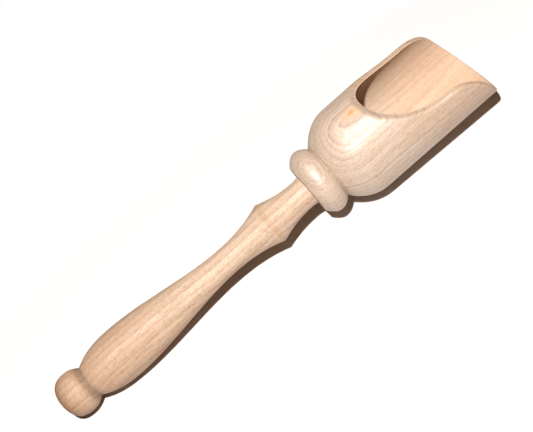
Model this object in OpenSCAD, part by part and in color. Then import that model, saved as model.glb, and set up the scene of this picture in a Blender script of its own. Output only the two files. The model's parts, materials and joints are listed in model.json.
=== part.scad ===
// Turned beech scoop: a bored bowl with a collar, and a spindle handle glued into it.
// The lathe axis runs through both pieces. Along it, x = 0 is the flat face of the collar,
// the bowl is on the + side and the handle on the - side. The finished part is then laid
// on its side, opening up, with its rest on the shoulder of the bowl and the end knob.

/* [Bowl] */
// Distance from the collar face to the lip
bowl_len = 118; // [100:1:145]
// Outer radius of the bowl
bowl_r = 27.65; // [24.5:0.05:32]
// Wall of the bowl, measured at the cylindrical stretch
wall = 3.3; // [2.4:0.1:4.2]
// Thickness of wood left between the socket and the bottom of the bore
web = 9; // [6:0.5:14]
// Radius between the wall and the bottom of the bore
bore_corner = 14; // [6:0.5:18]
// Length of the rounded shoulder, from the groove to the full radius
shoulder_len = 20.7; // [16:0.1:25]
// Height above the axis of the level where the cut turns from hollow to nose
cut_level = 11.2; // [6:0.1:14]
// Radius of the hollow back of the cut
cut_back_r = 60; // [50:0.5:70]
// Radius of the nose, where the cut turns down towards the lip
nose_r = 22; // [15:0.5:26]
// How far the front edge leans back from square to the axis, in degrees
front_lean = 21; // [14:0.5:28]

/* [Collar] */
// Length of the collar, from its face to the groove behind the bead
collar_len = 14.7; // [12:0.1:18]
// Radius of the flat face
face_r = 15.1; // [13:0.1:16.5]
// Radius of the bead
bead_r = 20.5; // [18:0.1:22]
// Radius of the groove between bead and shoulder
collar_groove_r = 16.8; // [14:0.1:17.5]

/* [Handle] */
// Length from the collar face to the knob's end
handle_len = 179.4; // [160:0.1:215]
// Radius where the handle meets the collar
joint_r = 9.3; // [8.6:0.1:11]
// Radius of the neck
neck_r = 8.7; // [8.1:0.1:9.5]
// Distance from the collar face to the neck
neck_at = 5.3; // [4:0.1:8]
// Radius of the ridge
ridge_r = 12.9; // [11:0.1:15]
// Distance from the collar face to the ridge
ridge_at = 27.6; // [22:0.1:33]
// Radius of the waist
waist_r = 7.8; // [6.8:0.1:9.4]
// Distance from the collar face to the waist
waist_at = 58.7; // [48:0.1:70]
// Radius of the grip at its fullest
grip_r = 15.2; // [13:0.1:18]
// Distance from the knob's end back to the fullest part of the grip
grip_from_end = 44.3; // [38:0.1:53]
// Radius at the bottom of the V groove
v_groove_r = 9.6; // [8:0.1:11]

/* [Knob] */
// Radius of the knob
knob_r = 13.2; // [11.2:0.1:15.8]
// Distance from the knob's end to its largest radius
knob_front = 10.3; // [8:0.1:12]
// Length of the knob, from its end to the V groove
knob_len = 19.2; // [17:0.1:22]
// Radius of the flat left by parting off
knob_flat_r = 4.9; // [3:0.1:6]

/* [Joint] */
// Radius of the tenon
tenon_r = 7; // [5:0.1:7.6]
// Length of the tenon
tenon_len = 16; // [12:0.5:20]
// Chamfer on the end of the tenon
tenon_chamfer = 1; // [0.5:0.1:2]
// Thickness of the glue round the tenon and between the faces
glue = 0.1; // [0.05:0.01:0.2]
// Thickness of the pad of glue beyond the tenon
glue_pad = 0.4; // [0.2:0.1:0.8]
// Air left beyond the pad, so that the faces close before the tenon bottoms
end_gap = 1.1; // [0.5:0.1:2]

/* [Hidden] */
$fn = 96;

// Steps of a curve between two stations
STEPS = 14;
// How far a cutting solid runs past what it cuts
PAST = 2;

// Slopes of the profile, radius per length, where two curves meet at an angle
FACE_RISE = 2 * (bead_r - face_r) / (collar_len / 2);
BEAD_FALL = 2 * (bead_r - collar_groove_r) / (collar_len / 2);
SHOULDER_RISE = 1.25;
JOINT_FLARE = 0.25;
RIDGE_FRONT = 0.36;
RIDGE_BACK = 0.37;
V_RISE = 0.58;

// How full the knob's end is: 2 would be an ellipse, more is squarer
KNOB_FULLNESS = 2.6;

socket_r = tenon_r + glue;
socket_len = tenon_len + glue_pad + end_gap;
bore_r = bowl_r - wall;
bore_from = socket_len + web;
shoulder_end = collar_len + shoulder_len;
nose_z = cut_level - nose_r;
cut_x = bowl_len - (nose_z + bowl_r) * tan(front_lean) - nose_r / cos(front_lean);
knob_x = knob_front - handle_len;
v_groove_x = knob_len - handle_len;
grip_x = grip_from_end - handle_len;

// A point on the smooth curve that leaves p with slope dp and reaches q with slope dq
function on_curve(p, dp, q, dq, t) =
    let (len = q[0] - p[0], u = 1 - t)
    [p[0] + len * t,
     p[1] * (1 + 2 * t) * u * u + q[1] * (3 - 2 * t) * t * t
     + len * (dp * t * u * u - dq * t * t * u)];

// The curve without its last point, so that stretches follow each other
function curve(p, dp, q, dq) =
    [for (i = [0 : STEPS - 1]) on_curve(p, dp, q, dq, i / STEPS)];

// Points of an arc round c, from angle a to angle b
function arc(c, r, a, b) =
    [for (i = [0 : STEPS]) let (w = a + (b - a) * i / STEPS) c + r * [cos(w), sin(w)]];

// Outside of the bowl piece, from the collar face to the lip
bowl_line = concat(
    curve([0, face_r], FACE_RISE, [collar_len / 2, bead_r], 0),
    curve([collar_len / 2, bead_r], 0, [collar_len, collar_groove_r], -BEAD_FALL),
    curve([collar_len, collar_groove_r], SHOULDER_RISE, [shoulder_end, bowl_r], 0),
    [[shoulder_end, bowl_r], [bowl_len, bowl_r]]);

// Rounded end of the knob, from the parted flat to the largest radius
flat_turn = acos(pow(knob_flat_r / knob_r, KNOB_FULLNESS / 2));
knob_end_line = [for (i = [0 : STEPS - 1])
    let (w = flat_turn * (1 - i / STEPS), flat_x = pow(sin(flat_turn), 2 / KNOB_FULLNESS))
    [knob_x - knob_front * pow(sin(w), 2 / KNOB_FULLNESS) / flat_x,
     knob_r * pow(cos(w), 2 / KNOB_FULLNESS)]];

// Outside of the handle, from the knob's end to its shoulder on the glue
knob_fall = -1 / tan(acos((knob_len - knob_front) / knob_r));
handle_line = concat(
    knob_end_line,
    curve([knob_x, knob_r], 0, [v_groove_x, v_groove_r], knob_fall),
    curve([v_groove_x, v_groove_r], V_RISE, [grip_x, grip_r], 0),
    curve([grip_x, grip_r], 0, [-waist_at, waist_r], 0),
    curve([-waist_at, waist_r], 0, [-ridge_at, ridge_r], RIDGE_BACK),
    curve([-ridge_at, ridge_r], -RIDGE_FRONT, [-neck_at, neck_r], 0),
    curve([-neck_at, neck_r], 0, [-glue, joint_r], JOINT_FLARE),
    [[-glue, joint_r]]);

// The slope of the table under the axis: the line that touches both pieces from below
rest_slope = min([for (h = handle_line)
    max([for (b = bowl_line) (b[1] - h[1]) / (b[0] - h[0])])]);
tilt = atan(rest_slope);
axis_height = max([for (b = bowl_line) b[1] * cos(tilt) - b[0] * sin(tilt)]);
lip_x = bowl_len * cos(tilt) + bowl_r * sin(tilt);
tail_x = min([for (h = handle_line) h[0] * cos(tilt) - h[1] * sin(tilt)]);

// Lays a turned piece on the table, midway along the part's length
module laid() {
    translate([-(lip_x + tail_x) / 2, 0, axis_height])
        rotate([0, -tilt, 0])
            children();
}

// Turns an outline of [distance along the axis, radius] about the lathe axis
module turned(outline) {
    rotate([0, 90, 0])
        rotate_extrude()
            polygon([for (p = outline) [p[1], p[0]]]);
}

// The hollow of the bowl: a straight bore with a rounded bottom
module bore() {
    corner = [bore_from + bore_corner, bore_r - bore_corner];
    turned(concat(
        [[bowl_len + 2 * PAST, 0], [bore_from, 0]],
        arc(corner, bore_corner, 180, 90),
        [[bowl_len + 2 * PAST, bore_r]]));
}

// What is cut away from the front: hollow at the back, rounded over, then straight to the lip
module front_cut() {
    top = bowl_r + PAST;
    apex_turn = acos((cut_back_r + cut_level - top) / cut_back_r);
    rotate([90, 0, 0])
        linear_extrude(2 * top, center = true)
            polygon(concat(
                arc([cut_x, cut_level + cut_back_r], cut_back_r, -90 - apex_turn, -90),
                arc([cut_x, nose_z], nose_r, 90, front_lean),
                [[bowl_len + PAST * tan(front_lean), -top],
                 [bowl_len + 3 * PAST, -top],
                 [bowl_len + 3 * PAST, top]]));
}

module scoop_bowl() {
    color("#eccdb0")
        laid()
            difference() {
                turned(concat([[0, 0]], bowl_line,
                    [[bowl_len + PAST, bowl_r], [bowl_len + PAST, 0]]));
                bore();
                front_cut();
                rotate([0, 90, 0])
                    translate([0, 0, -PAST])
                        cylinder(r = socket_r, h = socket_len + PAST);
            }
}

module handle() {
    color("#dfb48a")
        laid()
            turned(concat(
                [[-handle_len, 0]],
                handle_line,
                [[-glue, tenon_r],
                 [tenon_len - tenon_chamfer, tenon_r],
                 [tenon_len, tenon_r - tenon_chamfer],
                 [tenon_len, 0]]));
}

module glue_film() {
    color("#8a6238")
        laid()
            turned([
                [-glue, tenon_r],
                [-glue, joint_r],
                [0, joint_r],
                [0, socket_r],
                [tenon_len + glue_pad, socket_r],
                [tenon_len + glue_pad, 0],
                [tenon_len, 0],
                [tenon_len, tenon_r - tenon_chamfer],
                [tenon_len - tenon_chamfer, tenon_r]]);
}

scoop_bowl();
handle();
glue_film();
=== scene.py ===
"""The looks of a turned beech scoop: a bored bowl, a spindle handle and the glue between them.

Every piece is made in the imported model's frame, in metres, about the lathe axis that the
knob's mount gives. Along that axis, x = 0 is the flat face of the collar, the bowl is on the
+ side and the handle on the - side.
"""

import json
import logging
import math
from dataclasses import dataclass
from enum import Enum

import bmesh
import bpy
import numpy as np
from mathutils import Matrix, Vector


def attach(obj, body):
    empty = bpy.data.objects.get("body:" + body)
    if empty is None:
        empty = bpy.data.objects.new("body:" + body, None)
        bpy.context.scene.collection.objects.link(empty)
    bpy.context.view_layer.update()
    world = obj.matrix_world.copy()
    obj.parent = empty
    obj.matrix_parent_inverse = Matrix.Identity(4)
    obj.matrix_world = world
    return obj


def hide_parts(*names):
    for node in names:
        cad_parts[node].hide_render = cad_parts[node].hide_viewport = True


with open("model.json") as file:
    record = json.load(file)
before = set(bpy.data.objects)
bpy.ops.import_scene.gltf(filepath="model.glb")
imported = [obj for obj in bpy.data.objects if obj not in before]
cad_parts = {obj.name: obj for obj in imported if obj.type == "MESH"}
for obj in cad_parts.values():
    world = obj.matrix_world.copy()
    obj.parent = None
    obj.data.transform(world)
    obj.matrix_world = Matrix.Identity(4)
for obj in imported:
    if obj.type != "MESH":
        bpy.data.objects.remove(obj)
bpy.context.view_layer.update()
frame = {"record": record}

log = logging.getLogger("scoop")

Triple = tuple[float, float, float]
Socket = bpy.types.NodeSocket
Value = Socket | float | tuple[float, ...]

MM = 0.001

# Stretches in a sanded corner
CORNER_STEPS = 5
# Waves that a gouge leaves, in radians per metre of the axis, and how fast its lobes turn
WAVES, LOBE_TURN = (870, 331, 1490), 21
# How strong the fine wave and the third lobe are, against the others
FINE_WAVE, THIRD_LOBE = 0.5, 0.6


class Slot(Enum):
    """The record's material slots."""

    BOWL = "bowl_wood"
    HANDLE = "handle_wood"
    GLUE = "glue"


# --------------------------------------------------------------------------- the lathe axis


@dataclass(frozen=True)
class LatheAxis:
    """The line that both pieces were turned about.

    Attributes:
        origin: The centre of the collar's flat face, in the row frame.
        along: Unit vector towards the lip.
        up: Unit vector square to the axis, out of the bowl's opening.
        side: Unit vector square to both.
    """

    origin: np.ndarray
    along: np.ndarray
    up: np.ndarray
    side: np.ndarray

    @classmethod
    def from_record(cls, record: dict, handle_len: float) -> "LatheAxis":
        """Finds the axis from the mount on the knob's end.

        Args:
            record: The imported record.
            handle_len: Distance from the knob's end to the collar's face.

        Returns:
            The axis.
        """
        mount = next(m for m in record["mounts"] if m["name"] == "knob_end")
        along = -np.array(mount["axis"], float)
        along /= np.linalg.norm(along)
        side = np.array([0.0, 1.0, 0.0])
        up = np.cross(along, side)
        origin = np.array(mount["pos_m"], float) + along * handle_len
        return cls(origin, along, up, side)

    def place(self, x: np.ndarray, r: np.ndarray, turn: np.ndarray) -> np.ndarray:
        """Turns lathe coordinates into points of the row frame.

        Args:
            x: Distance along the axis from the collar's face.
            r: Distance from the axis.
            turn: Angle about the axis, from straight down.

        Returns:
            An array of points, one row each.
        """
        x, r, turn = np.broadcast_arrays(x, r, turn)
        drop = (r * np.cos(turn))[..., None] * self.up
        across = (r * np.sin(turn))[..., None] * self.side
        return self.origin + x[..., None] * self.along - drop + across

    def centre(self, x: float) -> np.ndarray:
        """The point of the axis at this distance along it."""
        return self.origin + x * self.along

    def rotation(self) -> Triple:
        """The Euler angles that turn the row frame's X onto the axis."""
        basis = Matrix((self.along, self.side, self.up)).transposed()
        return tuple(basis.to_euler())


# --------------------------------------------------------------------------- outlines


@dataclass(frozen=True)
class Station:
    """A place on a turned outline.

    Attributes:
        x: Distance along the axis.
        r: Radius there.
        slope_in: Slope of the outline as it arrives.
        slope_out: Slope as it leaves. It equals slope_in where the outline is smooth.
        soften: How far the arris is sanded over, to each side.
    """

    x: float
    r: float
    slope_in: float = 0.0
    slope_out: float | None = None
    soften: float = 0.0

    @property
    def leaving(self) -> float:
        """The slope on the far side."""
        return self.slope_in if self.slope_out is None else self.slope_out


def hermite(a: Station, b: Station, t: np.ndarray) -> np.ndarray:
    """Points of the smooth curve from a to b.

    Args:
        a: First station.
        b: Second station.
        t: Shares of the way, from 0 to 1.

    Returns:
        Rows of (distance along the axis, radius).
    """
    length = b.x - a.x
    u = 1 - t
    r = a.r * (1 + 2 * t) * u * u + b.r * (3 - 2 * t) * t * t
    r = r + length * (a.leaving * t * u * u - b.slope_in * t * t * u)
    return np.column_stack([a.x + length * t, r])


def outline_through(stations: list[Station], pitch: float) -> np.ndarray:
    """The outline through the stations, with its arrises sanded over.

    Args:
        stations: The places it passes, in order.
        pitch: Distance between its points.

    Returns:
        Rows of (distance along the axis, radius).
    """
    rows = []
    for a, b in zip(stations, stations[1:]):
        span = b.x - a.x
        steps = max(3, round(abs(span) / pitch))
        shares = np.linspace(0, 1, steps + 1)
        keep = (shares * abs(span) >= a.soften) & ((1 - shares) * abs(span) >= b.soften)
        if a.soften:
            rows.append(hermite(a, b, np.array([a.soften / abs(span)])))
        rows.append(hermite(a, b, shares[keep][(1 if a.soften else 0):]))
        if b.soften:
            before = hermite(a, b, np.array([1 - b.soften / abs(span)]))[0]
            following = stations[stations.index(b) + 1]
            share = b.soften / abs(following.x - b.x)
            after = hermite(b, following, np.array([share]))[0]
            corner = rounded_corner(before, np.array([b.x, b.r]), after, CORNER_STEPS)
            rows.append(corner[:-1])
        elif b is not stations[-1]:
            rows[-1] = rows[-1][:-1]
    return np.vstack(rows)


def rounded_corner(a: np.ndarray, corner: np.ndarray, b: np.ndarray, steps: int) -> np.ndarray:
    """Points of a short curve from a to b, or from rows to rows, inside their corner."""
    t = np.linspace(0, 1, steps + 1).reshape((-1,) + (1,) * np.ndim(a))
    return (1 - t) ** 2 * a + 2 * t * (1 - t) * corner + t**2 * b


def arc_outline(centre: tuple[float, float], radius: float, start: float, end: float,
                steps: int) -> np.ndarray:
    """Points of an arc, as rows of (distance along the axis, radius), angles in radians."""
    w = np.linspace(start, end, steps + 1)
    return np.column_stack([centre[0] + radius * np.cos(w), centre[1] + radius * np.sin(w)])


# --------------------------------------------------------------------------- skins


class Skin:
    """A closed skin of quads, built ring by ring from one pole to the other."""

    def __init__(self, name: str, columns: int) -> None:
        """Starts an empty skin.

        Args:
            name: The piece's name.
            columns: Points in each ring.
        """
        self.name = name
        self.columns = columns
        self.rings: list[np.ndarray] = []

    def add(self, points: np.ndarray) -> None:
        """Adds rings. The last two axes are (columns, 3)."""
        self.rings.extend(np.reshape(points, (-1, self.columns, 3)))

    def build(self, first_pole: np.ndarray, last_pole: np.ndarray) -> bpy.types.Object:
        """Joins the rings, closes both ends and links the object.

        Args:
            first_pole: Point that closes the first ring.
            last_pole: Point that closes the last ring.

        Returns:
            The new object.
        """
        mesh = bmesh.new()
        rings = [[mesh.verts.new(p) for p in ring] for ring in self.rings]
        following = [(i, (i + 1) % self.columns) for i in range(self.columns)]
        for low, high in zip(rings, rings[1:]):
            for i, j in following:
                mesh.faces.new((low[i], low[j], high[j], high[i]))
        for ring, pole in ((rings[0], first_pole), (rings[-1], last_pole)):
            tip = mesh.verts.new(pole)
            for i, j in following:
                mesh.faces.new((ring[i], ring[j], tip))
        bmesh.ops.recalc_face_normals(mesh, faces=mesh.faces)
        for face in mesh.faces:
            face.smooth = True
        data = bpy.data.meshes.new(self.name)
        mesh.to_mesh(data)
        mesh.free()
        piece = bpy.data.objects.new(self.name, data)
        bpy.context.scene.collection.objects.link(piece)
        return piece


def ripple(x: np.ndarray, turn: np.ndarray, seed: float) -> np.ndarray:
    """The slight unevenness a gouge and sandpaper leave, from 0 to 1.

    Args:
        x: Distance along the axis.
        turn: Angle about the axis.
        seed: Sets this piece's pattern.

    Returns:
        The share of the full depth at each place.
    """
    coarse, slow, fine = (x * wave for wave in WAVES)
    rings = np.sin(coarse + seed) * np.sin(slow + 2 * seed) + FINE_WAVE * np.sin(fine + seed)
    lobes = np.sin(2 * turn + seed) + THIRD_LOBE * np.sin(3 * turn + x * LOBE_TURN + seed)
    return 0.5 + (rings + lobes) / (2 * (2 + FINE_WAVE + THIRD_LOBE))


def full_turn(columns: int) -> np.ndarray:
    """Evenly spaced angles once round the axis."""
    return np.linspace(0, 2 * math.pi, columns, endpoint=False)


# --------------------------------------------------------------------------- finishes


@dataclass(frozen=True)
class Grain:
    """A noise drawn out along the fibres.

    Attributes:
        scale: How often it changes in a metre, along the fibres, to the side and up.
        detail: How many finer layers it has.
        rough: How strongly those show.
    """

    scale: Triple
    detail: float
    rough: float


@dataclass(frozen=True)
class RaySpots:
    """Spindle-shaped spots, where the turned surface cuts through the wood's rays.

    Attributes:
        scale: Spots per metre along the fibres, outwards from the pith and across both.
        solid: Reach of a spot's full strength, in cells.
        edge: Reach of its edge.
    """

    scale: Triple
    solid: float
    edge: float


STREAKS = Grain((16, 700, 700), 4, 0.65)
LINES = Grain((70, 1700, 1700), 2, 0.6)
FIBRES = Grain((430, 1900, 1900), 2, 0.6)
BLOTCHES = Grain((12, 70, 70), 4, 0.6)
BREAKS = Grain((55, 300, 300), 2, 0.6)
WIDE_SWAY = Grain((11, 26, 26), 2, 0.5)
FINE_SWAY = Grain((80, 230, 230), 2, 0.5)
WORN_PATCHES = Grain((30, 90, 90), 2, 0.5)
TOOL_MARKS = Grain((1500, 5, 5), 2, 0.6)
GLUE_CLOUDS = Grain((900, 900, 900), 3, 0.6)

COMMON_RAYS = RaySpots((300, 120, 1000), 0.16, 0.45)
RARE_RAYS = RaySpots((260, 90, 900), 0.10, 0.30)
RARE_SHARE = 0.05
RARE_CONTRAST = 0.75

# What each figure does to the colour, from its darkest stretch to its palest
WHITE = (1.0, 1.0, 1.0)
STREAK_TONES = ((0.30, (0.88, 0.85, 0.81)), (0.50, WHITE), (0.72, (1.05, 1.05, 1.05)))
LINE_TONES = ((0.28, (0.76, 0.71, 0.66)), (0.47, WHITE))
FIBRE_TONES = ((0.30, (0.74, 0.68, 0.62)), (0.47, WHITE), (0.72, (1.06, 1.06, 1.05)))

# One growth ring, in shares of its width: a soft rise of late wood, and a fine line in it
LATE_RISE, LATE_FALL, LATE_DEPTH = (0.25, 0.92), (0.95, 1.0), 0.55
LINE_RISE, LINE_FALL = (0.78, 0.90), (0.90, 0.99)
LINE_BREAKS, LINE_DEPTHS = (0.36, 0.60), (0.15, 0.8)
RING_UNEVENNESS, UNEVEN_SCALE = 1.6, 0.55

# How far the fibres shiver beyond their sway, and how the seed shifts both
SHIVER = 0.9 * MM
SEED_SHIFT = (0.37, 0.11, 0.23)

# How warmth drifts along a blank, and the stretch of the blotches over which pale turns warm
WARM_DRIFT, WARM_RANGE = (0.24, -0.18), (0.36, 0.70)

# A pin knot's colours, their reaches in its own sizes, and the heights between which it comes up
KNOT_CORE, CORE_REACH = (0.50, 0.22, 0.075), (0.25, 1.0)
KNOT_HALO, HALO_REACH, HALO_SHARE = (0.56, 0.33, 0.17), (0.5, 3.2), 0.45
KNOT_RISE = (4 * MM, 9 * MM)

# What each figure adds to the roughness
WORN_RANGE, WORN_ROUGHNESS = (0.3, 0.7), (-0.06, 0.08)
FIBRE_ROUGHNESS, RING_ROUGHNESS, RAY_ROUGHNESS, END_ROUGHNESS = 0.4, 0.06, -0.10, 0.08

# How deep each figure's relief is
TOOL_DEPTH, STREAK_DEPTH, FIBRE_DEPTH = 0.03 * MM, 0.07 * MM, 0.035 * MM

# How much further a surface must turn until it is all end grain
END_SPREAD = 0.45
# A tone band's full strength reaches this share of its fade; the bands are stains in the wood and
# painted shade
BAND_CORE = 0.2
# The inputs of the node that moves a value from one range to another
RANGE_INPUTS = ("Value", "From Min", "From Max", "To Min", "To Max")


class NodeSheet:
    """A material's node tree, with short calls for the nodes that the finishes use."""

    def __init__(self, name: str) -> None:
        """Starts a material with only its shader and output.

        Args:
            name: The material's name.
        """
        self.material = bpy.data.materials.new(name)
        self.material.use_nodes = True
        self.tree = self.material.node_tree
        self.shader = self.tree.nodes["Principled BSDF"]

    def node(self, kind: str, inputs: dict[str | int, Value | None] | None = None,
             **settings: str | bool) -> bpy.types.Node:
        """Adds a node.

        Args:
            kind: The node's type.
            inputs: What its inputs are fed, by name or number. None leaves one as it is.
            settings: Its properties.

        Returns:
            The node.
        """
        made = self.tree.nodes.new(kind)
        for name, value in settings.items():
            setattr(made, name, value)
        for key, value in (inputs or {}).items():
            if value is not None:
                self.feed(made.inputs[key], value)
        return made

    def feed(self, socket: Socket, value: Value) -> None:
        """Links a socket, or sets its value where it is given a number or a colour.

        Args:
            socket: The input.
            value: An output, a number, a vector or a colour.
        """
        if isinstance(value, Socket):
            self.tree.links.new(value, socket)
        else:
            socket.default_value = (*value, 1.0) if socket.type == "RGBA" else value

    def finished(self, inputs: dict[str, Value]) -> bpy.types.Material:
        """Feeds the shader.

        Args:
            inputs: What its inputs are fed, by name.

        Returns:
            The finished material.
        """
        for name, value in inputs.items():
            self.feed(self.shader.inputs[name], value)
        return self.material

    def math(self, operation: str, *values: Value, clamp: bool = False) -> Socket:
        """The result of arithmetic, which clamp holds between 0 and 1."""
        return self.node("ShaderNodeMath", dict(enumerate(values)), operation=operation,
                         use_clamp=clamp).outputs[0]

    def times(self, a: Value, b: Value) -> Socket:
        """The product of two values."""
        return self.math("MULTIPLY", a, b)

    def vector(self, operation: str, *values: Value, out: int = 0) -> Socket:
        """The result of arithmetic on vectors, with out at 1 where it is a number."""
        return self.node("ShaderNodeVectorMath", dict(enumerate(values)),
                         operation=operation).outputs[out]

    def split(self, place: Socket) -> list[Socket]:
        """A place's distances along the fibres, to the side and up."""
        return list(self.node("ShaderNodeSeparateXYZ", {0: place}).outputs)

    def stretch(self, place: Socket, scale: Triple = (1.0, 1.0, 1.0),
                turn: Triple = (0.0, 0.0, 0.0), shift: Triple = (0.0, 0.0, 0.0)) -> Socket:
        """Coordinates scaled along each axis, then turned and shifted."""
        inputs = {"Vector": place, "Scale": scale, "Rotation": turn, "Location": shift}
        return self.node("ShaderNodeMapping", inputs, vector_type="POINT").outputs[0]

    def grain(self, place: Socket, grain: Grain, shift: Triple = (0.0, 0.0, 0.0),
              colour: bool = False) -> Socket:
        """Adds a noise drawn out along the fibres.

        Args:
            place: The coordinates.
            grain: The noise.
            shift: How far its pattern is moved.
            colour: Whether three noises are wanted, as a colour.

        Returns:
            The noise, from 0 to 1.
        """
        drawn_out = self.stretch(place, grain.scale, shift=shift)
        inputs = {"Vector": drawn_out, "Scale": 1.0, "Detail": grain.detail,
                  "Roughness": grain.rough}
        return self.node("ShaderNodeTexNoise", inputs).outputs["Color" if colour else "Fac"]

    def range(self, value: Value, low: float, high: float, to_low: float = 0.0,
              to_high: float = 1.0) -> Socket:
        """The value moved smoothly from one range to another, and held at its ends."""
        inputs = dict(zip(RANGE_INPUTS, (value, low, high, to_low, to_high)))
        return self.node("ShaderNodeMapRange", inputs, interpolation_type="SMOOTHSTEP").outputs[0]

    def ramp(self, value: Value, stops: tuple[tuple[float, Triple], ...]) -> Socket:
        """Adds a colour ramp.

        Args:
            value: The place on the ramp.
            stops: Its places and their colours.

        Returns:
            The colour.
        """
        made = self.node("ShaderNodeValToRGB", {0: value})
        points = made.color_ramp.elements
        while len(points) < len(stops):
            points.new(0.5)
        for point, (place, colour) in zip(points, stops):
            point.position = place
            point.color = (*colour, 1.0)
        return made.outputs[0]

    def mix(self, share: Value, a: Value, b: Value, blend: str = "MIX") -> Socket:
        """Two colours mixed, the second by its share."""
        return self.node("ShaderNodeMix", {"Factor": share, 6: a, 7: b}, data_type="RGBA",
                         blend_type=blend, clamp_factor=True).outputs[2]

    def tint(self, share: Value, colour: Value, tone: Value) -> Socket:
        """The colour multiplied by a tone, as far as the share says."""
        return self.mix(share, colour, tone, "MULTIPLY")

    def bump(self, height: Socket, depth: float, below: Socket | None = None) -> Socket:
        """The normal of relief of this depth, on the relief below it where there is one."""
        return self.node("ShaderNodeBump", {"Strength": 1.0, "Distance": depth, "Height": height,
                                            "Normal": below}).outputs[0]


@dataclass(frozen=True)
class PinKnot:
    """A small tan knot that runs up through the wood.

    Attributes:
        x: Its place along the axis.
        side: Its place to the side of the axis.
        length: Its half length along the fibres.
        width: Its half width.
    """

    x: float
    side: float
    length: float
    width: float


@dataclass(frozen=True)
class StainAndShadeBand:
    """A band round the axis where the colour is darker: some are stains in the wood, the others
    painted shade in grooves and on an end turned from the lamp.

    Attributes:
        x: Its middle along the axis.
        reach: How far it fades out to each side.
        tone: What it does to the colour.
    """

    x: float
    reach: float
    tone: Triple


@dataclass(frozen=True)
class BoredFace:
    """The surface that a bore leaves, which is duller than the sanded outside.

    Attributes:
        start: Where along the axis it starts.
        reach: Radius that takes in the bore but not the outside.
        tone: What it does to the colour: the bore's paler, pinker wood, lifted further as painted
            light in place of the light that bounces round the hollow.
        plain: How far the figure fades in it.
        rough: What it adds to the roughness.
        radius_fade: Half the width of its edge across the axis.
        start_fade: Width of its edge along the axis.
    """

    start: float
    reach: float
    tone: Triple
    plain: float = 0.4
    rough: float = 0.30
    radius_fade: float = 0.4 * MM
    start_fade: float = 0.3 * MM


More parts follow.
